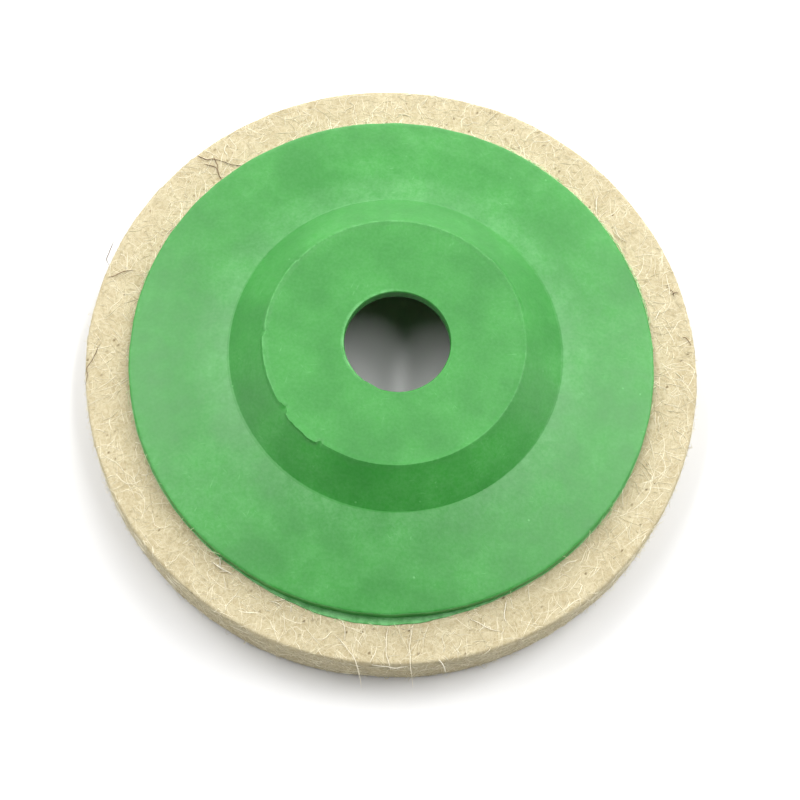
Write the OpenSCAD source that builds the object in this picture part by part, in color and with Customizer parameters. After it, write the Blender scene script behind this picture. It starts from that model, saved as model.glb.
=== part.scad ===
// Felt polishing wheel for an angle grinder: a pressed wool felt ring, glued to a moulded plastic
// backing plate whose raised hub is hollow underneath, so that the lock nut sits above the felt.
// Millimetres. +Z is the wheel's axis, z = 0 is the felt's working face, and the hub is on top.

/* [Felt ring] */
// Outside diameter of the felt, which is the size of the wheel
felt_d = 100; // [90:1:115]
// Thickness of the pressed felt
felt_t = 10; // [6:0.5:11]
// Diameter of the hole through the felt, round the nut recess
felt_hole_d = 46; // [45.6:0.2:52]
// Rounding along the felt's four cut edges
felt_round = 0.6; // [0.2:0.1:1.5]

/* [Glue line] */
// Thickness of the glue between the felt and the plate
glue_t = 0.3; // [0.1:0.1:0.6]
// How far the glue stops short of the felt's hole and of the plate's edge
glue_inset = 0.4; // [0.2:0.1:2]

/* [Plate flange] */
// Diameter of the flange's rim
rim_d = 84.6; // [80:0.2:88]
// Height of the rim, from the glue to its top edge
rim_t = 2.4; // [1.8:0.1:3]
// How much higher the flange is at the foot of the hub than at its rim
flange_rise = 2.2; // [0.6:0.1:3]
// Rounding on the rim's top edge
rim_round = 0.4; // [0.2:0.1:1]
// Width of the thin land that stands out round the foot of the rim
land_w = 0.4; // [0.2:0.1:1]
// Height of that land
land_t = 0.5; // [0.3:0.1:0.8]

/* [Hub] */
// Height of the whole wheel, from the working face to the hub's seat
wheel_h = 20; // [19:0.5:24]
// Diameter of the hub's foot, where its slope meets the flange
hub_foot_d = 53.4; // [50:0.2:58]
// Diameter of the flat seat on top of the hub
hub_seat_d = 41.4; // [40.4:0.2:46]
// Rounding on the hub's top edge
hub_round = 0.5; // [0.2:0.1:1]
// Thickness of the hub's roof, which the grinder's flange and nut clamp
roof_t = 2.4; // [2:0.1:4]
// Diameter of the bore for the grinder's locating boss
bore_d = 16; // [14:0.1:22.3]
// Chamfer at both ends of the bore
bore_chamfer = 0.4; // [0.2:0.1:0.8]

/* [Nut recess] */
// Diameter of the recess under the hub's roof
recess_roof_d = 37.2; // [34:0.2:38]
// Diameter of the recess at its mouth, against the felt's hole
recess_mouth_d = 45.2; // [42:0.2:45.4]
// Rounding in the corner between the recess's wall and the roof
recess_round = 1.2; // [0.6:0.1:2]

/* [Hidden] */
$fn = 180;
arc_steps = 6;                              // straight steps in each rounded corner
plate_z = felt_t + glue_t;                  // underside of the flange
rim_z = plate_z + rim_t;                    // the rim's top edge
foot_z = rim_z + flange_rise;               // foot of the hub
roof_z = wheel_h - roof_t;                  // underside of the hub's roof

// Points that round the corner at c of an outline which comes from a and leaves to b. The rounding
// is an arc of radius r, tangent to both sides.
function corner(a, c, b, r) =
    let (
        to_a = (a - c) / norm(a - c),
        to_b = (b - c) / norm(b - c),
        half = acos(to_a * to_b) / 2,
        bisector = (to_a + to_b) / norm(to_a + to_b),
        centre = c + bisector * r / sin(half),
        first = c + to_a * r / tan(half) - centre,
        last = c + to_b * r / tan(half) - centre,
        start = atan2(first[1], first[0]),
        turn = atan2(last[1], last[0]) - start,
        sweep = turn > 180 ? turn - 360 : turn < -180 ? turn + 360 : turn
    )
    [for (i = [0:arc_steps]) centre + r * [cos(start + sweep * i / arc_steps),
                                           sin(start + sweep * i / arc_steps)]];

// Each outline below is a list of [radius, height, rounding], which is spun about the wheel's axis.
module spun(outline) {
    n = len(outline);
    place = [for (p = outline) [p[0], p[1]]];
    rotate_extrude()
        polygon([for (i = [0:n - 1])
            each outline[i][2] == 0
                ? [place[i]]
                : corner(place[(i + n - 1) % n], place[i], place[(i + 1) % n], outline[i][2])]);
}

// One moulding: the dished flange, the hub's sloping wall, the roof and its bore.
module backing_plate() {
    bore_r = bore_d / 2;
    color("mediumseagreen")
        spun([
            [bore_r + bore_chamfer, wheel_h, 0],
            [bore_r, wheel_h - bore_chamfer, 0],
            [bore_r, roof_z + bore_chamfer, 0],
            [bore_r + bore_chamfer, roof_z, 0],
            [recess_roof_d / 2, roof_z, recess_round],
            [recess_mouth_d / 2, plate_z, 0],
            [rim_d / 2 + land_w, plate_z, 0],
            [rim_d / 2 + land_w, plate_z + land_t, 0],
            [rim_d / 2, plate_z + land_t, 0],
            [rim_d / 2, rim_z, rim_round],
            [hub_foot_d / 2, foot_z, 0],
            [hub_seat_d / 2, wheel_h, hub_round]
        ]);
}

// The film of contact glue, shut in between the felt and the flange.
module glue_layer() {
    color("goldenrod")
        translate([0, 0, felt_t])
            difference() {
                cylinder(h = glue_t, d = rim_d - 2 * glue_inset);
                translate([0, 0, -glue_t])
                    cylinder(h = 3 * glue_t, d = felt_hole_d + 2 * glue_inset);
            }
}

// The wool ring that polishes. It lies on its working face.
module felt_ring() {
    color("wheat")
        spun([
            [felt_hole_d / 2, 0, felt_round],
            [felt_d / 2, 0, felt_round],
            [felt_d / 2, felt_t, felt_round],
            [felt_hole_d / 2, felt_t, felt_round]
        ]);
}

backing_plate();
glue_layer();
felt_ring();
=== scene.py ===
import math

import bpy
import numpy as np
from mathutils import Matrix, Vector


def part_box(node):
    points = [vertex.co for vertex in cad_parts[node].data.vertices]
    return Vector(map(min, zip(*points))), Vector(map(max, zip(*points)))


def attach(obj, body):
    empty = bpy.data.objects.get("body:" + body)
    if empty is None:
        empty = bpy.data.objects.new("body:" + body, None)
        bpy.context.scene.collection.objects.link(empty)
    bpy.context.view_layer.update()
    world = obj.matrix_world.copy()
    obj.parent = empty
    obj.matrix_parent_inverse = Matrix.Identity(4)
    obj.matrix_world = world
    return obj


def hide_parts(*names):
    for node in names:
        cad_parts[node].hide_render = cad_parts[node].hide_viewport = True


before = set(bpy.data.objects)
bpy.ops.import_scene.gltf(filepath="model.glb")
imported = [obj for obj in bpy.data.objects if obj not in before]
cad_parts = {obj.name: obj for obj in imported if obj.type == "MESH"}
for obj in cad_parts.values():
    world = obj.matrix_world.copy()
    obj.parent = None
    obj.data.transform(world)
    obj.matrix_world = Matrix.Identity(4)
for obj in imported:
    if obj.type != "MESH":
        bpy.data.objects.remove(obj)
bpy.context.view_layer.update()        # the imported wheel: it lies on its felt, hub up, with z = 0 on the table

mm = 0.001
scene = bpy.context.scene
scene.view_settings.view_transform = "Standard"


def solidSize(node):  # a solid's radius, underside and top, in mm
    low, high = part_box(node)
    return [round(value / mm, 2) for value in (high[0], low[2], high[2])]


plateRadius, plateLow, plateTop = solidSize("backing_plate")
glueRadius, glueLow, glueTop = solidSize("glue_layer")
feltRadius, feltLow, feltTop = solidSize("felt_ring")


def linearColour(hexCode):  # sRGB hex to the linear RGBA that shaders take
    parts = [int(hexCode[i:i + 2], 16) / 255 for i in (1, 3, 5)]
    return (*[c / 12.92 if c <= 0.04045 else ((c + 0.055) / 1.055) ** 2.4 for c in parts], 1.0)


def patternScale(size):  # the texture scale that makes a pattern's features this many mm wide
    return 1 / (size * mm)


def addNode(tree, kind, inputs={}, **settings):
    # an input is a value, an output, or a node, whose first output in use is meant
    node = tree.nodes.new("ShaderNode" + kind)
    for name, value in settings.items():
        setattr(node, name, value)
    for socket, value in inputs.items():
        if isinstance(value, bpy.types.Node):
            value = next(output for output in value.outputs if output.enabled)
        if isinstance(value, bpy.types.NodeSocket):
            tree.links.new(value, node.inputs[socket])
        else:
            node.inputs[socket].default_value = value
    return node


def newMaterial(name):
    material = bpy.data.materials.new(name)
    material.use_nodes = True
    tree = material.node_tree
    return material, tree, tree.nodes["Principled BSDF"]


# Shapes are worked out in millimetres until their mesh is made.

def outlinePoints(corners):  # corners are (radius, height, rounding, spacing of the side that follows)
    count = len(corners)
    arcs = []
    for i, (radius, height, rounding, _) in enumerate(corners):
        corner = np.array([radius, height], float)
        if rounding == 0:
            arcs.append([corner])
            continue
        before = np.array(corners[i - 1][:2]) - corner
        after = np.array(corners[(i + 1) % count][:2]) - corner
        before /= np.linalg.norm(before)
        after /= np.linalg.norm(after)
        half = math.acos(np.clip(before @ after, -1, 1)) / 2
        middle = (before + after) / np.linalg.norm(before + after)
        centre = corner + middle * rounding / math.sin(half)
        first = corner + before * rounding / math.tan(half) - centre
        last = corner + after * rounding / math.tan(half) - centre
        start = math.atan2(first[1], first[0])
        sweep = (math.atan2(last[1], last[0]) - start + math.pi) % (2 * math.pi) - math.pi
        steps = max(4, math.ceil(abs(sweep) * rounding / 0.5))     # an arc's points are 0.5 mm apart at most
        turns = [start + sweep * k / steps for k in range(steps + 1)]
        arcs.append([centre + rounding * np.array([math.cos(t), math.sin(t)]) for t in turns])
    points = []
    for i, arc in enumerate(arcs):
        points += arc
        side = arcs[(i + 1) % count][0] - arc[-1]
        steps = max(1, math.ceil(np.linalg.norm(side) / corners[i][3]))
        points += [arc[-1] + side * k / steps for k in range(1, steps)]
    return np.array(points)


def lumps(points, size, seed):  # smooth random values from -1 to 1 that change over about size
    cell = points / size
    base = np.floor(cell).astype(np.int64)
    part = cell - base
    part = part * part * (3 - 2 * part)
    total = np.zeros(points.shape[:-1])
    for corner in np.ndindex(2, 2, 2):
        x, y, z = np.moveaxis(base + np.array(corner), -1, 0)
        mixed = x * 73856093 ^ y * 19349663 ^ z * 83492791 ^ seed * 2654435761     # a hash of large primes
        mixed = (mixed ^ mixed >> 13) * 1274126177 & 0xFFFFFF
        weight = np.prod(np.where(corner, part, 1 - part), axis=-1)
        total += weight * (mixed / 0x7FFFFF - 1)
    return total


def bell(distance, width):  # 1 in the middle, falling smoothly to 0 at width
    near = np.clip(1 - np.abs(distance) / width, 0, 1)
    return near * near * (3 - 2 * near)


def smoothStep(value, start, end):
    t = np.clip((value - start) / (end - start), 0, 1)
    return t * t * (3 - 2 * t)


def between(value, start, end, blur):  # 1 from start to end, blurred inside both ends
    return smoothStep(value, start, start + blur) * (1 - smoothStep(value, end - blur, end))


def angleFrom(angle, degrees):  # the angle in degrees from a direction, -180 to 180
    return (np.degrees(angle) - degrees + 180) % 360 - 180


def polar(radius, angle, height):
    return np.stack(np.broadcast_arrays(radius * np.cos(angle), radius * np.sin(angle), height), -1)


def fullTurn(steps):
    return np.linspace(0, 2 * math.pi, steps, endpoint=False)


def spinOutline(outline, steps, shape):  # shape(radius, height, angle) gives the moved radius and height
    angle = fullTurn(steps)[None, :]
    radius, height = shape(outline[:, :1], outline[:, 1:], angle)
    return polar(radius, angle, height)


def ringFaces(rings, steps):  # quads between closed rings, the last ring joined to the first
    ring, step = np.meshgrid(np.arange(rings), np.arange(steps), indexing="ij")
    nextRing, nextStep = (ring + 1) % rings, (step + 1) % steps
    corners = [ring * steps + step, nextRing * steps + step,
               nextRing * steps + nextStep, ring * steps + nextStep]
    return np.stack(corners, -1).reshape(-1, 4).tolist()


def addMesh(name, points, faces, material):  # points in mm
    mesh = bpy.data.meshes.new(name)
    mesh.from_pydata((points.reshape(-1, 3) * mm).tolist(), [], faces)
    mesh.polygons.foreach_set("use_smooth", [True] * len(mesh.polygons))
    mesh.materials.append(material)
    mesh.update()
    piece = bpy.data.objects.new(name, mesh)
    scene.collection.objects.link(piece)
    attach(piece, "root")
    return piece


def addValues(piece, name, values):  # one number at each point, which the piece's material reads
    attribute = piece.data.attributes.new(name, "FLOAT", "POINT")
    attribute.data.foreach_set("value", values.astype(np.float32).ravel())


def mouldedPlastic():
    # Injection-moulded polypropylene: satin, faintly cloudy, scuffed and hazed where it was rubbed, with painted
    # sheen in the ring round the hub's foot and painted highlight and painted light on its edges
    look = {
        # the pale greens: one for scuffs, specks and stressed edges and also for painted highlight and painted
        # light on the edges, one for haze and for the painted sheen round the hub's foot
        "green": "#298429", "deepGreen": "#217524", "hazeAndSheen": "#76AA7A", "paleMarkAndHighlight": "#78BF7A",
        "cloudSize": 9.0, "mottleSize": 2.0, "speckSize": 3.4,                # mm
        "grainSize": 0.5,       # mm, coarser than the mould's real grain, which would be too fine to show
        "patchHaze": 0.155, "fineHaze": 0.07, "footDustAndSheen": 0.30,
        "hubEdge": 20.0, "hubHaze": 0.6, "footRingFrom": 26.8, "footRingTo": 33.0,    # mm from the axis
        "speckShare": 0.38, "scuffWidth": 0.45, "scuffStretch": 5, "scuffTurns": (0.2, 1.3, 2.4),
        "markPaleness": 0.30, "roughness": 0.44, "ior": 1.49,
    }
    material, tree, shader = newMaterial("mouldedGreenPolypropylene")
    place = addNode(tree, "TexCoord").outputs["Object"]
    cloud = addNode(tree, "TexNoise", {"Vector": place, "Scale": patternScale(look["cloudSize"]),
                                       "Detail": 4, "Roughness": 0.6})
    mottle = addNode(tree, "TexNoise", {"Vector": place, "Scale": patternScale(look["mottleSize"]),
                                        "Detail": 4, "Roughness": 0.7})
    grain = addNode(tree, "TexNoise", {"Vector": place, "Scale": patternScale(look["grainSize"]),
                                       "Detail": 2})
    deep = addNode(tree, "MapRange", {"Value": cloud, "From Min": 0.34, "From Max": 0.66})
    colour = addNode(tree, "Mix", {0: deep, 6: linearColour(look["deepGreen"]),
                                   7: linearColour(look["green"])}, data_type="RGBA")

    # haze: rubbed patches scatter a little white, and the pale ring round the hub's foot is partly dust and
    # partly painted sheen
    patchy = addNode(tree, "MapRange", {"Value": mottle, "From Min": 0.35, "From Max": 0.70,
                                        "To Max": look["patchHaze"]})
    level = addNode(tree, "VectorMath", {0: place, 1: (1, 1, 0)}, operation="MULTIPLY")
    fromAxis = addNode(tree, "VectorMath", {0: level}, operation="LENGTH")
    handled = addNode(tree, "MapRange", {"Value": fromAxis, "From Min": look["hubEdge"] * mm,
                                         "From Max": look["footRingFrom"] * mm, "To Min": look["hubHaze"],
                                         "To Max": 1.0})
    rubbed = addNode(tree, "MapRange", {"Value": cloud, "From Min": 0.40, "From Max": 0.70,
                                        "To Max": handled})
    fine = addNode(tree, "MapRange", {"Value": grain, "From Min": 0.35, "From Max": 0.75,
                                      "To Max": look["fineHaze"]})
    bloom = addNode(tree, "Math", {0: patchy, 1: rubbed, 2: fine}, operation="MULTIPLY_ADD")
    # a pale ring round the hub's foot, partly dust and partly painted sheen, fading outwards
    outside = addNode(tree, "Math", {0: fromAxis, 1: look["footRingFrom"] * mm}, operation="GREATER_THAN")
    fading = addNode(tree, "MapRange", {"Value": fromAxis, "From Min": look["footRingFrom"] * mm,
                                        "From Max": look["footRingTo"] * mm, "To Min": look["footDustAndSheen"],
                                        "To Max": 0.0})
    dustAndSheenRing = addNode(tree, "Math", {0: outside, 1: fading}, operation="MULTIPLY")
    ringMottle = addNode(tree, "MapRange", {"Value": mottle, "From Min": 0.3, "From Max": 0.7,
                                         "To Min": 0.15, "To Max": 0.55})
    bloom = addNode(tree, "Math", {0: dustAndSheenRing, 1: ringMottle, 2: bloom}, operation="MULTIPLY_ADD")
    colour = addNode(tree, "Mix", {0: bloom, 6: colour, 7: linearColour(look["hazeAndSheen"])}, data_type="RGBA")

    # specks: pimples and grains of dust, one to a cell and only in some cells
    specks = addNode(tree, "TexVoronoi", {"Vector": place, "Scale": patternScale(look["speckSize"])})
    cell = addNode(tree, "SeparateColor", {0: specks.outputs["Color"]})
    chosen = addNode(tree, "Math", {0: cell.outputs[0], 1: 1 - look["speckShare"]},
                     operation="GREATER_THAN")
    dot = addNode(tree, "MapRange", {"Value": specks.outputs["Distance"], "From Min": 0.025,
                                     "From Max": 0.07, "To Min": 1.0, "To Max": 0.0})
    marks = addNode(tree, "Math", {0: dot, 1: chosen}, operation="MULTIPLY")

    # scuffs: short pale scratches where noise stretched in three directions peaks, most where it's rubbed
    for turn in look["scuffTurns"]:
        lay = addNode(tree, "Mapping", {"Vector": place, "Rotation": (0, 0, turn),
                                        "Scale": (look["scuffStretch"], 1, 1)}, vector_type="TEXTURE")
        streaks = addNode(tree, "TexNoise", {"Vector": lay, "Scale": patternScale(look["scuffWidth"]),
                                             "Detail": 2})
        scratch = addNode(tree, "MapRange", {"Value": streaks, "From Min": 0.69, "From Max": 0.84})
        worn = addNode(tree, "MapRange", {"Value": cloud, "From Min": 0.45, "From Max": 0.62,
                                          "To Min": 0.05})
        scuff = addNode(tree, "Math", {0: scratch, 1: worn}, operation="MULTIPLY")
        marks = addNode(tree, "Math", {0: marks, 1: scuff}, operation="MAXIMUM")
    pale = addNode(tree, "Math", {0: marks, 1: look["markPaleness"]}, operation="MULTIPLY")
    colour = addNode(tree, "Mix", {0: pale, 6: colour, 7: linearColour(look["paleMarkAndHighlight"])},
                     data_type="RGBA")

    # edges that a knife trimmed are stressed and paler; the same mix paints highlight on the hub's edge, the lip
    # and the rim, and painted light on the land
    stressAndHighlight = addNode(tree, "Attribute", attribute_name="stressAndHighlight").outputs["Fac"]
    ragged = addNode(tree, "MapRange", {"Value": mottle, "From Min": 0.38, "From Max": 0.58,
                                        "To Min": 0.15, "To Max": 0.75})
    stressAndHighlightPale = addNode(tree, "Math", {0: stressAndHighlight, 1: ragged}, operation="MULTIPLY")
    colour = addNode(tree, "Mix", {0: stressAndHighlightPale, 6: colour, 7: linearColour(look["paleMarkAndHighlight"])},
                     data_type="RGBA")

    gloss = addNode(tree, "MapRange", {"Value": cloud, "From Min": 0.3, "From Max": 0.7,
                                       "To Min": look["roughness"] - 0.03,
                                       "To Max": look["roughness"] + 0.05})
    skin = addNode(tree, "Bump", {"Height": grain, "Strength": 0.35, "Distance": 0.012 * mm})
    waves = addNode(tree, "Bump", {"Height": mottle, "Normal": skin, "Strength": 0.45,
                                   "Distance": 0.04 * mm})
    raised = addNode(tree, "Bump", {"Height": marks, "Normal": waves, "Strength": 0.5,
                                    "Distance": 0.04 * mm})
    shader.inputs["IOR"].default_value = look["ior"]
    tree.links.new(colour.outputs[2], shader.inputs["Base Color"])
    tree.links.new(gloss.outputs[0], shader.inputs["Roughness"])
    tree.links.new(raised.outputs[0], shader.inputs["Normal"])
    return material


def pressedFelt():
    # Coarse wool felt, pressed and cut: a matt mat of cream fibres with tan patches and painted shade in small
    # gaps between them
    look = {
        # the darkest colour is painted shade in the holes between the fibres
        "cream": "#B4A98A", "tan": "#9F9170", "fibre": "#D6CFB3", "holeShadeColour": "#5C4B2E",
        "patchSize": 4.0, "mottleSize": 0.65, "grainSize": 0.25, "curlSize": 1.6, "gapSize": 1.05,   # mm
        "layers": 7, "strandPaleness": 0.38,
        "strandWidth": 0.017,   # of the noise's range, some 0.05 mm: a real 0.035 mm is too fine to show
        "roughness": 0.95, "ior": 1.5, "specular": 0.15,
    }
    material, tree, shader = newMaterial("pressedWoolFelt")
    place = addNode(tree, "TexCoord").outputs["Object"]
    patch = addNode(tree, "TexNoise", {"Vector": place, "Scale": patternScale(look["patchSize"]),
                                       "Detail": 2})
    mottle = addNode(tree, "TexNoise", {"Vector": place, "Scale": patternScale(look["mottleSize"]),
                                        "Detail": 5, "Roughness": 0.7})
    grain = addNode(tree, "TexNoise", {"Vector": place, "Scale": patternScale(look["grainSize"]),
                                       "Detail": 2})
    broad = addNode(tree, "MapRange", {"Value": patch, "From Min": 0.35, "From Max": 0.65,
                                       "To Max": 0.35})
    small = addNode(tree, "MapRange", {"Value": mottle, "From Min": 0.36, "From Max": 0.62,
                                       "To Max": 0.65})
    ground = addNode(tree, "Math", {0: broad, 1: small}, operation="ADD")
    colour = addNode(tree, "Mix", {0: ground, 6: linearColour(look["tan"]),
                                   7: linearColour(look["cream"])}, data_type="RGBA")

    # fibres: the thin line where a smooth noise crosses its middle value curls as a wool fibre does
    strands = 0.0
    for layer in range(look["layers"]):
        shift = addNode(tree, "Mapping", {"Vector": place,
                                          "Location": (0.31 * layer, 0.17 * layer, 0.23 * layer),
                                          "Rotation": (0.7 * layer, 0.4 * layer, 1.1 * layer)})
        curl = addNode(tree, "TexNoise", {"Vector": shift, "Scale": patternScale(look["curlSize"]),
                                          "Detail": 1, "Roughness": 0.4})
        middle = addNode(tree, "Math", {0: curl, 1: 0.5}, operation="SUBTRACT")
        away = addNode(tree, "Math", {0: middle}, operation="ABSOLUTE")
        line = addNode(tree, "MapRange", {"Value": away, "From Max": look["strandWidth"],
                                          "To Min": 1.0, "To Max": 0.0})
        strands = addNode(tree, "Math", {0: line, 1: strands}, operation="MAXIMUM")
    faint = addNode(tree, "Math", {0: strands, 1: look["strandPaleness"]}, operation="MULTIPLY")
    colour = addNode(tree, "Mix", {0: faint, 6: colour, 7: linearColour(look["fibre"])},
                     data_type="RGBA")

    # gaps: painted shade in small holes between the fibres, drawn out along one way
    lay = addNode(tree, "Mapping", {"Vector": place, "Rotation": (0.3, 0.2, 0.9), "Scale": (1.6, 1, 1)},
                  vector_type="TEXTURE")
    holes = addNode(tree, "TexVoronoi", {"Vector": lay, "Scale": patternScale(look["gapSize"])})
    cell = addNode(tree, "SeparateColor", {0: holes.outputs["Color"]})
    shadeDepth = addNode(tree, "MapRange", {"Value": cell.outputs[0], "From Min": 0.45, "From Max": 1.0,
                                       "To Max": 0.95})
    hole = addNode(tree, "MapRange", {"Value": holes.outputs["Distance"], "From Min": 0.08,
                                      "From Max": 0.24, "To Min": 1.0, "To Max": 0.0})
    # painted shade: the holes are darkened, some more than others
    holeShade = addNode(tree, "Math", {0: hole, 1: shadeDepth}, operation="MULTIPLY")
    colour = addNode(tree, "Mix", {0: holeShade, 6: colour, 7: linearColour(look["holeShadeColour"])}, data_type="RGBA")

    soft = addNode(tree, "Bump", {"Height": mottle, "Strength": 0.3, "Distance": 0.05 * mm})
    nap = addNode(tree, "Bump", {"Height": grain, "Normal": soft, "Strength": 0.55,
                                 "Distance": 0.035 * mm})
    shader.inputs["IOR"].default_value = look["ior"]
    shader.inputs["Roughness"].default_value = look["roughness"]
    shader.inputs["Specular IOR Level"].default_value = look["specular"]
    tree.links.new(colour.outputs[2], shader.inputs["Base Color"])
    tree.links.new(nap.outputs[0], shader.inputs["Normal"])
    return material


def woolFibre(name, pale, holeShade):
    # Single wool fibres: scaly keratin, duller than silk, each of its own tone and mottled along its length
    look = {"mottleSize": 0.8, "mottleDepth": 0.15, "roughness": 0.55, "ior": 1.54, "specular": 0.3}
    material, tree, shader = newMaterial(name)
    place = addNode(tree, "TexCoord").outputs["Object"]
    own = addNode(tree, "Attribute", attribute_name="tone").outputs["Fac"]
    mottle = addNode(tree, "TexNoise", {"Vector": place, "Scale": patternScale(look["mottleSize"]),
                                        "Detail": 2})
    along = addNode(tree, "MapRange", {"Value": mottle, "From Min": 0.3, "From Max": 0.7,
                                       "To Min": -look["mottleDepth"], "To Max": look["mottleDepth"]})
    tone = addNode(tree, "Math", {0: own, 1: along}, operation="ADD", use_clamp=True)
    colour = addNode(tree, "Mix", {0: tone, 6: linearColour(holeShade), 7: linearColour(pale)},
                     data_type="RGBA")
    shader.inputs["IOR"].default_value = look["ior"]
    shader.inputs["Roughness"].default_value = look["roughness"]
    shader.inputs["Specular IOR Level"].default_value = look["specular"]
    tree.links.new(colour.outputs[2], shader.inputs["Base Color"])
    return material


def contactGlue():
    # Dried contact cement: amber, rubbery, uneven where the brush left it
    look = {"amber": "#94692E", "brown": "#6A4718", "brushSize": 1.8, "roughness": 0.35, "ior": 1.52}
    material, tree, shader = newMaterial("driedContactGlue")
    place = addNode(tree, "TexCoord").outputs["Object"]
    brush = addNode(tree, "TexNoise", {"Vector": place, "Scale": patternScale(look["brushSize"]),
                                       "Detail": 3})
    colour = addNode(tree, "Mix", {0: brush, 6: linearColour(look["brown"]),
                                   7: linearColour(look["amber"])}, data_type="RGBA")
    bump = addNode(tree, "Bump", {"Height": brush, "Strength": 0.5, "Distance": 0.1 * mm})
    shader.inputs["IOR"].default_value = look["ior"]
    shader.inputs["Roughness"].default_value = look["roughness"]
    tree.links.new(colour.outputs[2], shader.inputs["Base Color"])
    tree.links.new(bump.outputs[0], shader.inputs["Normal"])
    return material


plate = {
    "bore": 8.42, "boreLip": 8.55, "boreChamfer": 0.4, "top": plateTop, "seat": 20.65, "seatRound": 0.16,
    "foot": 26.8, "footHeight": plateLow + 4.6,
    "dish": [(31.5, 14.07, 20), (37.2, 13.50, 16)],          # the flange's hollow: radius, height, rounding
    "rim": plateRadius - 0.3, "rimHeight": plateLow + 2.4, "rimRound": 0.4,
    "under": plateLow, "landHeight": plateLow + 0.5, "landWidth": 0.15,
    "roof": plateTop - 2.4, "recess": 18.6, "mouth": 22.6, "recessRound": 1.2,
    "steps": 480,
    # the moulding's circles aren't quite concentric: how far each is off, sideways and away
    "boreOff": (0.33, -0.12), "footOff": (0.35, 0.25), "rimOff": (-0.22, 0.0),
    # the land stands out furthest on the near side, where the mould's halves don't quite meet
    "landBulge": 1.05, "landBulgeAt": -90, "landBulgeSpan": 32,
    # flash that the mould left along the hub's edge: from, to, how far it stands out
    "flash": [(20, 48, 0.16), (96, 143, 0.05), (144, 179, 0.10), (183, 216, 0.27), (220.5, 239.7, 0.55)],
    # chips broken out of that edge: angle, depth, width
    "chips": [(143.6, 0.14, 1.0), (181, 0.16, 1.2), (218.6, 0.26, 1.8), (240.6, 0.26, 1.1)],
    # small dents with a burr in the middle: angle, radius
    "dents": [(6.9, 35.8), (9.8, 37.0), (18.6, 34.6), (191.4, 34.4), (257, 27.4), (222, 29.2)],
    "dentWidth": 0.9, "dentDepth": 0.05, "burrWidth": 0.45, "burrHeight": 0.09,
    # how uneven each edge is: waver is slow, ragged is quick, raised is how far it stands up
    "hubReach": 0.8, "hubWaver": 0.03, "hubRagged": 0.25, "hubRaised": 0.08, "flashRaised": 0.15,
    "chipSunk": 0.8, "landWaver": 0.12, "landRagged": 0.07, "rimWaver": 0.06, "rimRagged": 0.03,
    "lipReach": 0.5, "lipWaver": 0.06, "lipFlashFrom": 218, "lipFlashTo": 258, "lipFlash": 0.12,
    "lipFlashRagged": 0.10, "flangeWarp": 0.05, "flangeRipple": 0.012,
    # how pale each edge is: stress whitening where it was trimmed, painted highlight on the hub's edge to the
    # upper left and right, on the lip to the upper left and on the rim, and painted light on the land
    "hubPale": 0.06, "hubHighlightLeft": 0.29, "hubHighlightRight": 0.14, "hubPaleWidth": 0.24,
    "lipPale": 0.05, "lipHighlightLeft": 0.6, "lipPaleWidth": 0.16, "rimHighlight": 0.22, "landPaintedLight": 0.7,
}


def landBulge(angle):  # how far the land stands out beyond its usual width
    return plate["landBulge"] * bell(angleFrom(angle, plate["landBulgeAt"]), plate["landBulgeSpan"])


def plateShape(radius, height, angle):
    p = plate
    around = polar(radius, angle, height)
    degrees = np.degrees(angle) % 360
    drift = 0
    shares = {"boreOff": 1 - smoothStep(radius, 10, 16), "footOff": bell(radius - p["foot"], 5),
              "rimOff": smoothStep(radius, 36, 41)}
    for name, share in shares.items():
        sideways, away = p[name]
        drift = drift + share * (sideways * np.cos(angle) + away * np.sin(angle))

    # the hub's edge: flash that stands out in runs, and chips
    atEdge = bell(radius - p["seat"], p["hubReach"]) * bell(height - p["top"], p["hubReach"])
    flash = sum(out * between(degrees, start, end, 0.8) for start, end, out in p["flash"])
    flash = flash * (1 + p["hubRagged"] * lumps(around, 0.8, 11))
    chip = sum(shadeDepth * bell(angleFrom(angle, at), width) for at, shadeDepth, width in p["chips"])
    outwards = atEdge * (flash - chip + p["hubWaver"] * lumps(around, 2.5, 12))
    upwards = atEdge * (p["hubRaised"] + p["flashRaised"] * flash - p["chipSunk"] * chip)

    # the land round the rim's foot
    onLand = height < p["landHeight"] + 0.01
    onLand = onLand * smoothStep(radius, p["rim"] + 0.05, p["rim"] + 0.1)
    bulge = landBulge(angle) * (1 + p["landWaver"] * lumps(around, 2.0, 13))
    outwards = outwards + onLand * (bulge + p["landRagged"] * lumps(around, 1.4, 14))

    # the flange is a little warped and dented, and its rim isn't quite even
    onTop = height > p["landHeight"] + 0.3
    onFlange = onTop * smoothStep(radius, p["foot"] + 0.3, p["foot"] + 3)
    wave = p["flangeWarp"] * lumps(around, 13, 15) + p["flangeRipple"] * lumps(around, 4, 19)
    upwards = upwards + onFlange * wave
    atRim = smoothStep(radius, p["rim"] - 1, p["rim"])
    waver = p["rimWaver"] * lumps(around, 3.0, 16) + p["rimRagged"] * lumps(around, 0.8, 17)
    outwards = outwards + atRim * waver
    for at, out in p["dents"]:
        apart = np.hypot(radius * np.radians(angleFrom(angle, at)), radius - out)
        burr = p["burrHeight"] * bell(apart, p["burrWidth"])
        upwards = upwards + onTop * (burr - p["dentDepth"] * bell(apart, p["dentWidth"]))

    # the lip of the bore is uneven, with flash left on its near side
    atLip = bell(radius - p["boreLip"], p["lipReach"]) * bell(height - p["top"], p["lipReach"])
    left = between(degrees, p["lipFlashFrom"], p["lipFlashTo"], 6)
    flash = left * (p["lipFlash"] + p["lipFlashRagged"] * lumps(around, 0.9, 20))
    outwards = outwards + atLip * (p["lipWaver"] * lumps(around, 1.6, 18) - flash)
    return radius + outwards + drift, height + upwards


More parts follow.
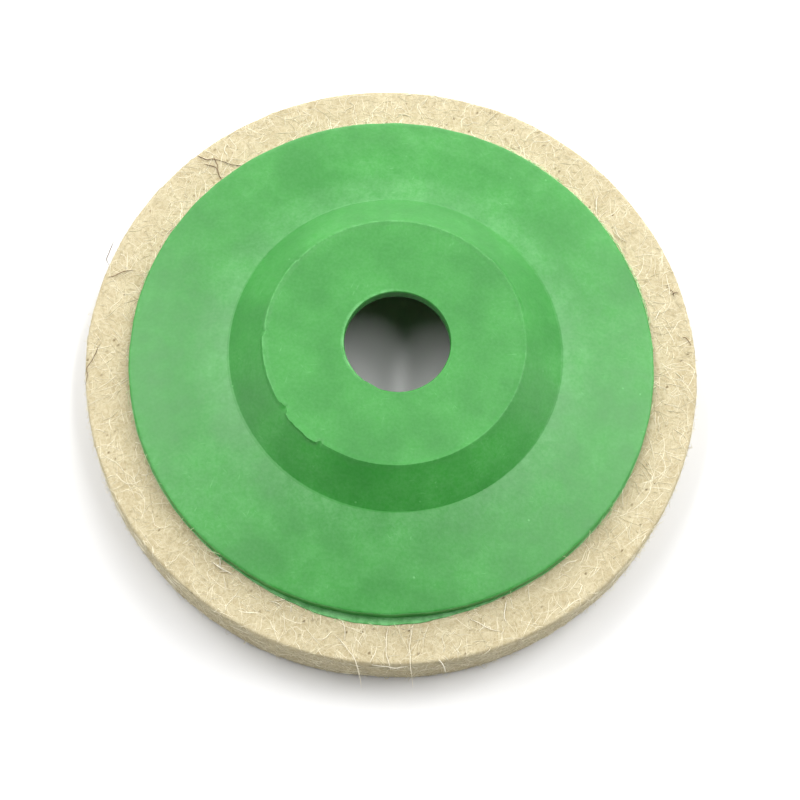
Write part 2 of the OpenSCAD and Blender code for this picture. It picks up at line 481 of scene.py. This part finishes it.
def plateStressAndHighlight(radius, height, angle):  # where the plate's edges are pale, 0 to 1: stress whitening, with painted highlight on the hub's edge, the lip and the rim, and painted light on the land
    p = plate
    degrees = np.degrees(angle) % 360
    upperLeft = smoothStep(degrees, 60, 95) * (1 - smoothStep(degrees, 196, 216))
    right = smoothStep(degrees, 20, 40) * (1 - smoothStep(degrees, 60, 90))
    right = right + smoothStep(degrees, 300, 330)
    nearTop = bell(height - p["top"], 0.35)
    # the hub's edge: stress whitening all round, and painted highlight to the upper left and the right
    hub = p["hubPale"] + p["hubHighlightLeft"] * upperLeft + p["hubHighlightRight"] * right
    hub = bell(radius - p["seat"], p["hubPaleWidth"]) * nearTop * hub
    lipLeft = smoothStep(degrees, 70, 110) * (1 - smoothStep(degrees, 215, 245))
    # the lip: stress whitening all round, and painted highlight to the upper left
    lip = p["lipPale"] + p["lipHighlightLeft"] * lipLeft
    lip = bell(radius - p["boreLip"], p["lipPaleWidth"]) * nearTop * lip
    # painted highlight on the rim's top edge
    rim = p["rimHighlight"] * bell(radius - p["rim"], 0.5) * bell(height - p["rimHeight"], 0.5)
    # painted light on the land, which sits in shade beside the rim's wall
    land = p["landPaintedLight"] * smoothStep(radius, p["rim"] - 0.05, p["rim"] + 0.1)
    return hub + lip + rim + land * (height < p["landHeight"] + 0.05)


def makePlate():
    p = plate
    corners = [
        (p["boreLip"], p["top"], 0.08, 0.5),
        (p["seat"] - 0.9, p["top"], 0, 0.15),
        (p["seat"], p["top"], p["seatRound"], 0.35),
        (p["foot"], p["footHeight"], 0.25, 0.4),
        *[(*corner, 0.5) for corner in p["dish"]],
        (p["rim"], p["rimHeight"], p["rimRound"], 0.4),
        (p["rim"], p["landHeight"], 0.08, 0.3),
        (p["rim"] + p["landWidth"], p["landHeight"], 0.06, 0.3),
        (p["rim"] + p["landWidth"], p["under"], 0.06, 3.0),
        (p["mouth"], p["under"], 0.3, 0.7),
        (p["recess"], p["roof"], p["recessRound"], 1.0),
        (p["bore"] + p["boreChamfer"], p["roof"], 0.12, 0.3),
        (p["bore"], p["roof"] + p["boreChamfer"], 0.12, 0.5),
        (p["bore"], p["top"] - 0.18, 0.05, 0.15),
    ]
    outline = outlinePoints(corners)
    points = spinOutline(outline, p["steps"], plateShape)
    faces = ringFaces(len(outline), p["steps"])
    piece = addMesh("backingPlate", points, faces, mouldedPlastic())
    # pale edges: stress whitening with painted highlight and painted light
    stressAndHighlight = plateStressAndHighlight(outline[:, :1], outline[:, 1:], fullTurn(p["steps"])[None, :])
    addValues(piece, "stressAndHighlight", stressAndHighlight)
    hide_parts("backing_plate")
    print("backing plate:", len(outline), "rings,", len(faces), "faces")


glue = {
    "inner": 23.4, "outer": glueRadius - 0.2, "round": 0.08, "steps": 240,
    "middle": 32.6, "waverFrom": 7, "waverTo": 9.2, "waver": 0.25, "ragged": 0.12, "short": 0.1,
}


def brushed(radius, height, angle):  # spread by hand, so the film's edges wander
    g = glue
    around = polar(radius, angle, 0.0)
    fromMiddle = radius - g["middle"]
    edge = smoothStep(np.abs(fromMiddle), g["waverFrom"], g["waverTo"]) * np.sign(fromMiddle)
    waver = g["waver"] * lumps(around, 3.0, 41) + g["ragged"] * lumps(around, 1.0, 42) - g["short"]
    return radius + edge * waver, height


def makeGlue():
    g = glue
    outline = outlinePoints([
        (g["inner"], glueTop, g["round"], 1.5),
        (g["outer"], glueTop, g["round"], 0.2),
        (g["outer"], glueLow, g["round"], 1.5),
        (g["inner"], glueLow, g["round"], 0.2),
    ])
    points = spinOutline(outline, g["steps"], brushed)
    faces = ringFaces(len(outline), g["steps"])
    piece = addMesh("glueFilm", points, faces, contactGlue())
    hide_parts("glue_layer")
    print("glue film:", len(faces), "faces")


felt = {
    "hole": 23.0, "outer": feltRadius - 0.25, "thick": feltTop, "round": 0.5, "steps": 720,
    "off": (-0.1, 0.0),             # it was glued on a touch off-centre
    "low": feltLow + 0.22,          # leaves room under the working face for its fibres
    "plateEdge": 42.2,              # the felt is flat under the plate, inside this radius
    "swell": 0.34,                  # how far it swells up past the plate's edge
    "bank": 0.24, "bankWidth": 1.5,                                      # pushed up against the land
    "rough": [(8.0, 0.10, 21), (2.4, 0.05, 22), (1.1, 0.015, 23), (0.55, 0.01, 24)],    # size, height, seed
}


def feltOutline():
    f = felt
    return outlinePoints([
        (f["hole"], f["thick"], f["round"], 4.0),
        (f["plateEdge"] - 0.7, f["thick"], 0, 0.26),
        (f["outer"], f["thick"], f["round"], 0.36),
        (f["outer"], f["low"], f["round"], 0.8),
        (f["hole"], f["low"], f["round"], 0.6),
    ])


def feltHeight(points, normals):  # how far the matted surface stands off the plain ring
    radius = np.hypot(points[..., 0], points[..., 1])
    rough = sum(height * lumps(points, size, seed) for size, height, seed in felt["rough"])
    faceUp = smoothStep(normals[..., 2], 0.6, 0.95)
    faceDown = smoothStep(-normals[..., 2], 0.6, 0.95)
    free = smoothStep(radius, felt["plateEdge"] - 0.4, felt["plateEdge"] + 0.3)
    turn = np.arctan2(points[..., 1], points[..., 0])
    landEdge = plate["rim"] + plate["landWidth"] + landBulge(turn)
    bank = felt["bank"] * bell(radius - landEdge, felt["bankWidth"])
    rough = rough * (1 - faceUp * (1 - free)) + faceUp * free * (felt["swell"] + bank)
    return rough * (1 - 0.5 * faceDown) - 0.05 * faceDown


class FeltSurface:  # turns (distance along the section, angle) into places and directions on the felt
    def __init__(self):
        self.outline = feltOutline()
        self.loop = np.vstack([self.outline, self.outline[:1]])
        steps = np.linalg.norm(np.diff(self.loop, axis=0), axis=1)
        self.along = np.concatenate([[0], np.cumsum(steps)])
        self.length = self.along[-1]
        side = np.roll(self.outline, -1, axis=0) - np.roll(self.outline, 1, axis=0)
        side /= np.linalg.norm(side, axis=1)[:, None]
        out = np.stack([-side[:, 1], side[:, 0]], -1)
        self.out = np.vstack([out, out[:1]])

    def at(self, radius, height):  # distance along the section of the outline's nearest point
        return self.along[np.argmin(np.hypot(self.outline[:, 0] - radius, self.outline[:, 1] - height))]

    def place(self, along, angle):
        along = np.mod(along, self.length)
        radius, height, outR, outZ = [np.interp(along, self.along, column)
                                      for column in (*self.loop.T, *self.out.T)]
        points, normals = polar(radius, angle, height), polar(outR, angle, outZ)
        normals /= np.linalg.norm(normals, axis=-1)[..., None]
        moved = points + normals * feltHeight(points, normals)[..., None] + np.array([*felt["off"], 0])
        return moved, normals, radius


def makeFelt(surface):
    along, around = np.meshgrid(surface.along[:-1], fullTurn(felt["steps"]), indexing="ij")
    faces = ringFaces(len(surface.outline), felt["steps"])
    piece = addMesh("feltRing", surface.place(along, around)[0], faces, pressedFelt())
    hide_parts("felt_ring")
    print("felt ring:", len(surface.outline), "rings,", len(faces), "faces")


def addFibres(name, paths, ups, widths, tones, material):  # a three-sided tube along each of paths
    count, stops = paths.shape[:2]
    ahead = np.gradient(paths, axis=1)
    ahead /= np.linalg.norm(ahead, axis=-1)[..., None] + 1e-9
    across = np.cross(ahead, ups)
    across /= np.linalg.norm(across, axis=-1)[..., None] + 1e-9
    above = np.cross(across, ahead)
    fromEnd = np.minimum(np.arange(stops), stops - 1 - np.arange(stops)) / (stops - 1)
    reach = (widths[:, None] / 2 * np.minimum(1, 0.35 + 3 * fromEnd))[..., None]     # thinner at both ends
    sides = [paths + reach * (math.sin(t) * across + math.cos(t) * above)
             for t in (0, 2 * math.pi / 3, 4 * math.pi / 3)]
    points = np.stack(sides, 2)  # fibre, stop, side
    start = (np.arange(count) * stops * 3)[:, None, None]
    stop, side = np.arange(stops - 1)[None, :, None] * 3, np.arange(3)[None, None, :]
    a, b = start + stop + side, start + stop + (side + 1) % 3
    quads = np.stack([a, b, b + 3, a + 3], -1).reshape(-1, 4).tolist()
    first = start[:, 0, 0]
    last = first + (stops - 1) * 3
    caps = np.concatenate([np.stack([first + 2, first + 1, first], -1),
                           np.stack([last, last + 1, last + 2], -1)]).tolist()
    piece = addMesh(name, points, quads + caps, material)
    addValues(piece, "tone", np.repeat(tones, stops * 3))
    print(name + ":", count, "fibres,", len(quads + caps), "faces")


# Coarse wool is some 0.035 mm thick. These are drawn up to three times as thick, so that they show.
strand = {"lengthSpread": 0.5, "shortest": 0.6, "wave": 0.28, "swing": 2.2, "widthSpread": 0.35,
          "thinnest": 0.035, "thickest": 0.2}
matted = {"stops": 6, "length": 2.3, "longest": 6.0, "bend": 0.22, "rise": 0.012, "highest": 0.2,
          "sink": 0.02, "loose": 0.05, "width": 0.058}
bright = {"stops": 7, "length": 2.8, "longest": 7.0, "bend": 0.18, "rise": 0.020, "highest": 0.35,
          "sink": 0.02, "loose": 0.08, "width": 0.11}
fuzz = {"stops": 6, "length": 1.2, "longest": 2.6, "bend": 0.6, "rise": 0.28, "highest": 0.8,
        "sink": 0.05, "loose": 0.8, "width": 0.042}


def layFibres(surface, name, material, seed, count, span, look):  # span is (from, to) along the section
    dice = np.random.default_rng(seed)
    stops = look["stops"]
    length = dice.lognormal(math.log(look["length"]), strand["lengthSpread"], count)
    length = np.clip(length, strand["shortest"], look["longest"])
    along = dice.uniform(*span, count)
    angle = dice.uniform(0, 2 * math.pi, count)
    heading = dice.uniform(0, 2 * math.pi, count)
    bend = dice.normal(0, look["bend"], count)
    wave = dice.normal(0, strand["wave"], count)
    phase = dice.uniform(0, 2 * math.pi, count)
    rise = dice.exponential(look["rise"], count).clip(0, look["highest"])
    loose = dice.uniform(0, 1, count) < look["loose"]      # these leave the surface at their far end
    step = length / (stops - 1)
    places, ups = [], []
    for i in range(stops):
        points, normals, radius = surface.place(along, angle)
        part = i / (stops - 1)
        bedded = rise * np.sin(math.pi * part) - look["sink"] * (2 * part - 1) ** 2
        lift = np.where(loose, rise * part ** 1.5 - look["sink"] * (1 - part), bedded)
        places.append(points + normals * lift[:, None])
        ups.append(normals)
        now = heading + bend * step * i + wave * np.sin(phase + strand["swing"] * math.pi * part)
        along = along + np.cos(now) * step
        angle = angle + np.sin(now) * step / radius
    paths, ups = np.stack(places, 1), np.stack(ups, 1)
    widths = dice.lognormal(math.log(look["width"]), strand["widthSpread"], count)
    widths = np.clip(widths, strand["thinnest"], strand["thickest"])
    paths[..., 2] = np.maximum(paths[..., 2], widths[:, None] / 2)      # nothing goes below the table
    addFibres(name, paths, ups, widths, dice.uniform(0, 1, count), material)


def makeNap(surface):
    straw = woolFibre("strawWoolFibre", "#CAC2A4", "#AEA483")
    pale = woolFibre("paleWoolFibre", "#EAE4CE", "#C5BC9C")
    backEdge = surface.at(felt["plateEdge"] + 0.3, felt["thick"])
    outerTop = surface.at(felt["outer"], felt["thick"] - felt["round"])
    outerLow = surface.at(felt["outer"], felt["low"] + felt["round"])
    holeLow = surface.at(felt["hole"], felt["low"] + felt["round"])
    back, wall = (backEdge, outerTop + 0.3), (outerTop - 0.3, outerLow)
    face, hole = (outerLow, holeLow), (holeLow, surface.length - 0.8)
    layFibres(surface, "feltMatBack", straw, 31, 3000, back, matted)
    layFibres(surface, "feltMatWall", straw, 32, 3200, wall, matted)
    layFibres(surface, "feltMatFace", straw, 33, 5200, face, matted)
    layFibres(surface, "feltMatHole", straw, 34, 1400, hole, matted)
    layFibres(surface, "feltFibresBack", pale, 35, 1900, back, bright)
    layFibres(surface, "feltFibresWall", pale, 36, 1000, wall, bright)
    layFibres(surface, "feltFibresFace", pale, 37, 2200, face, bright)
    layFibres(surface, "feltFuzz", pale, 38, 3600, (outerTop + 0.1, outerLow + 0.5), fuzz)


strays = {   # loose hairs lie where they fell: angle and radius of the root, heading, length
    "white": {"width": 0.13, "curl": 0.16, "hairs": [
        (-96.5, 46.0, -56, 8.7), (-96, 43.2, -75, 3.6), (-81, 42.9, -85, 9.8), (-77, 49.3, -53, 2.2),
        (-86, 43.4, -83, 7.0), (-89, 49.8, 3, 5.6), (-61, 43.2, -88, 3.6), (-70, 43.4, -20, 5.9),
        (34.6, 44.2, 115, 3.5), (15, 43.4, 64, 2.4), (43, 43.6, 89, 3.5), (38, 44.0, -39, 3.2),
        (-121, 43.6, 155, 2.9), (-125, 43.9, -30, 2.6), (-123, 44.0, 100, 1.7), (-120, 43.7, 170, 2.2),
        (-125.4, 43.4, 5, 2.9), (-110, 43.9, 20, 2.4), (-108, 44.3, 160, 2.2), (-106, 44.5, 95, 1.5)]},
    "brown": {"width": 0.15, "curl": 0.42, "hairs": [
        (137, 49.6, -7, 4.1), (134.2, 46.4, -8, 4.2), (134.6, 47.4, -71, 2.5), (137, 47.5, -40, 4.7),
        (165.5, 49.8, 89, 4.7), (168, 49, 23, 4.2), (-178, 47.7, -101, 7.2), (9, 49, 139, 1.8),
        (21, 47.8, -60, 1.4), (20, 48.9, 200, 1.1)]},
    "bow": 0.10, "curlSize": 1.5, "lift": 0.12, "arch": 0.3, "droop": 0.6, "stops": 16,
}


def makeStrays():
    dice = np.random.default_rng(51)
    part = np.linspace(0, 1, strays["stops"])[None, :]
    white = woolFibre("paleStrayHair", "#F7F3E4", "#E9E1C9")
    brown = woolFibre("brownStrayHair", "#75593F", "#4C3826")
    for name, kind, material in (("strayHairs", strays["white"], white),
                                 ("darkHairs", strays["brown"], brown)):
        turn, radius, heading, length = np.array(kind["hairs"], float).T[..., None]
        turn, heading = np.radians(turn), np.radians(heading)
        count = len(turn)
        bow = dice.uniform(0.4, 1, count) * dice.choice([-1, 1], count) * strays["bow"]
        ahead = part * length
        aside = 4 * part * (1 - part) * (bow[:, None] * length)
        x = radius * np.cos(turn) + ahead * np.cos(heading) - aside * np.sin(heading)
        y = radius * np.sin(turn) + ahead * np.sin(heading) + aside * np.cos(heading)
        flat = np.stack([x, y, 0 * x], -1)
        curl = np.stack([lumps(flat, strays["curlSize"], seed) for seed in (54, 55, 56)], -1)
        curl = curl * [kind["curl"], kind["curl"], 0.15]
        # they lie on the swollen felt, and droop where they reach past its edge
        past = np.clip(np.hypot(x, y) - felt["outer"] + 0.3, 0, None)
        height = felt["thick"] + felt["swell"] + strays["lift"] + strays["arch"] * np.sin(math.pi * part)
        height = height - strays["droop"] * past ** 1.4
        paths = np.stack([x, y, height], -1) + curl * np.sin(math.pi * part)[..., None]
        ups = np.broadcast_to(np.array([0.0, 0.0, 1.0]), paths.shape)
        widths = kind["width"] * dice.uniform(0.75, 1.2, count)
        addFibres(name, paths, ups, widths, dice.uniform(0.2, 1, count), material)


fringe = {"count": 560, "thickFrom": 14, "thickTo": 68, "thickShare": 0.82, "nearShare": 0.8, "lean": 2.2,
          "thinnest": 0.04, "thickest": 0.10, "stops": 6}


def makeFringe():
    # fibre ends that stand up against the plate's rim, stained by its green, thickest on the far right
    dice = np.random.default_rng(61)
    count = fringe["count"]
    thick = dice.uniform(0, 1, count) < fringe["thickShare"]
    angle = np.where(thick, dice.uniform(fringe["thickFrom"], fringe["thickTo"], count),
                     dice.uniform(0, 360, count))
    onLand = landBulge(np.radians(angle))
    kept = (onLand < 0.05) | (dice.uniform(0, 1, count) < fringe["nearShare"])
    angle, onLand = angle[kept], onLand[kept]
    count = len(angle)
    near = onLand > 0.05
    turn = np.radians(angle)
    rimRadius = plate["rim"] + plate["rimOff"][0] * np.cos(turn)
    root = rimRadius + 0.35 + onLand + dice.uniform(0, 0.5, count)
    tip = np.where(near, rimRadius + plate["landWidth"] + onLand * dice.uniform(0.8, 1.0, count),
                   rimRadius - dice.uniform(-0.15, 0.25, count))
    free = dice.uniform(plate["landHeight"], plate["rimHeight"] + 0.3, count)
    top = np.where(near, plate["landHeight"] + 0.05, free)
    lean = np.radians(dice.normal(0, fringe["lean"], count))
    part = np.linspace(0, 1, fringe["stops"])[None, :]
    radius = root[:, None] + (tip - root)[:, None] * part ** 1.3
    low = felt["thick"] + 0.2
    height = low + (top - low)[:, None] * np.sin(math.pi / 2 * part)
    around = turn[:, None] + lean[:, None] * part
    widths = dice.uniform(fringe["thinnest"], fringe["thickest"], count)
    stained = woolFibre("stainedWoolFibre", "#DDECBB", "#84BF78")
    addFibres("rimFringe", polar(radius, around, height), polar(1.0, around, 0.0), widths,
              dice.uniform(0, 1, count), stained)


def makeFloor():
    # Matt white paper: it shows the soft shadow and little else
    sheet = {"white": "#DEDEDE", "radius": 0.42, "corners": 96, "roughness": 0.9, "specular": 0.1}   # metres
    material, _, shader = newMaterial("whitePaper")
    shader.inputs["Base Color"].default_value = linearColour(sheet["white"])
    shader.inputs["Roughness"].default_value = sheet["roughness"]
    shader.inputs["Specular IOR Level"].default_value = sheet["specular"]
    mesh = bpy.data.meshes.new("paperSheet")
    mesh.from_pydata(polar(sheet["radius"], fullTurn(sheet["corners"]), 0.0).tolist(), [],
                     [list(range(sheet["corners"]))])
    mesh.materials.append(material)
    floor = bpy.data.objects.new("paperSheet", mesh)
    scene.collection.objects.link(floor)
    print("floor: a round sheet", sheet["radius"], "m in radius")


def makeLights():
    # A white tent, bright round the horizon, dimmer overhead and dark where it opens, with lamps round it
    tent = {"low": 1.28, "high": 0.2, "highFrom": 0.48, "opening": (0, -0.62, 0.78), "openWidth": 0.80,
            "openEdge": 0.95, "openDark": 0.1}
    world = bpy.data.worlds.new("studioTent")
    world.use_nodes = True
    tree = world.node_tree
    way = addNode(tree, "TexCoord").outputs["Generated"]
    height = addNode(tree, "SeparateXYZ", {0: way}).outputs[2]
    glow = addNode(tree, "MapRange", {"Value": height, "From Min": 0.0, "From Max": tent["highFrom"],
                                      "To Min": tent["low"], "To Max": tent["high"]},
                   interpolation_type="SMOOTHSTEP")
    facing = addNode(tree, "VectorMath", {0: way, 1: tent["opening"]}, operation="DOT_PRODUCT")
    cloth = addNode(tree, "MapRange", {"Value": facing, "From Min": tent["openWidth"],
                                       "From Max": tent["openEdge"], "To Min": 1.0,
                                       "To Max": tent["openDark"]})
    strength = addNode(tree, "Math", {0: glow, 1: cloth}, operation="MULTIPLY")
    tree.links.new(strength.outputs[0], tree.nodes["Background"].inputs["Strength"])
    tree.nodes["Background"].inputs["Color"].default_value = linearColour("#FFFFFF")
    scene.world = world
    lamps = {  # place, breadth and height in metres, and power in watts
        "backBox": ((0.0, 0.82, 0.37), (0.9, 0.45), 6.0),
        "rightBox": ((0.50, 0.29, 0.69), (0.5, 0.5), 4.8),
        "leftBox": ((-0.49, 0.28, 0.70), (0.5, 0.5), 3.7),
        "rightLow": ((0.85, 0.10, 0.30), (0.4, 0.4), 1.25),
        "leftLow": ((-0.82, -0.15, 0.30), (0.4, 0.4), 1.05),
        "rightStrip": ((0.30, 0.12, 1.0), (0.10, 0.7), 4.2),
        "leftStrip": ((-0.40, 0.12, 1.0), (0.10, 0.7), 4.1),
    }
    for name, (place, size, power) in lamps.items():
        light = bpy.data.lights.new(name, "AREA")
        light.shape = "RECTANGLE"
        light.size, light.size_y = size
        light.energy = power
        lamp = bpy.data.objects.new(name, light)
        lamp.location = place
        if "Strip" not in name:  # the strips hang level, the boxes face the wheel
            lamp.rotation_euler = Vector(place).to_track_quat("Z", "Y").to_euler()
        lamp.visible_camera = False
        scene.collection.objects.link(lamp)
    print("lights: the tent and", len(lamps), "lamps")


def makeCamera():
    shot = {"distance": 0.300, "elevation": 69.92, "roll": 6.13, "lens": 80.29,
            "aimRight": 1.68, "aimUp": -2.62}     # metres, degrees, and the aim's shift in mm
    tilt, roll = math.radians(shot["elevation"]), math.radians(shot["roll"])
    eye = shot["distance"] * Vector((0, -math.cos(tilt), math.sin(tilt)))
    right = Vector((1, 0, 0))
    up = right.cross(-eye.normalized())
    target = (shot["aimRight"] * right + shot["aimUp"] * up) * mm
    ahead = (target - eye).normalized()
    right = ahead.cross(Vector((0, 0, 1))).normalized()
    up = right.cross(ahead)
    rolledRight = math.cos(roll) * right + math.sin(roll) * up
    rolledUp = math.cos(roll) * up - math.sin(roll) * right
    data = bpy.data.cameras.new("studioCamera")
    data.sensor_width, data.lens = 36, shot["lens"]
    data.clip_start, data.clip_end = 0.01, 20
    camera = bpy.data.objects.new("studioCamera", data)
    turned = Matrix((rolledRight, rolledUp, -ahead)).transposed().to_4x4()
    camera.matrix_world = Matrix.Translation(eye) @ turned
    scene.collection.objects.link(camera)
    scene.camera = camera
    print("camera:", shot["elevation"], "degrees above the table")


makeCamera()
makeFloor()
makeLights()
makePlate()
makeGlue()
feltSurface = FeltSurface()
makeFelt(feltSurface)
makeNap(feltSurface)
makeStrays()
makeFringe()
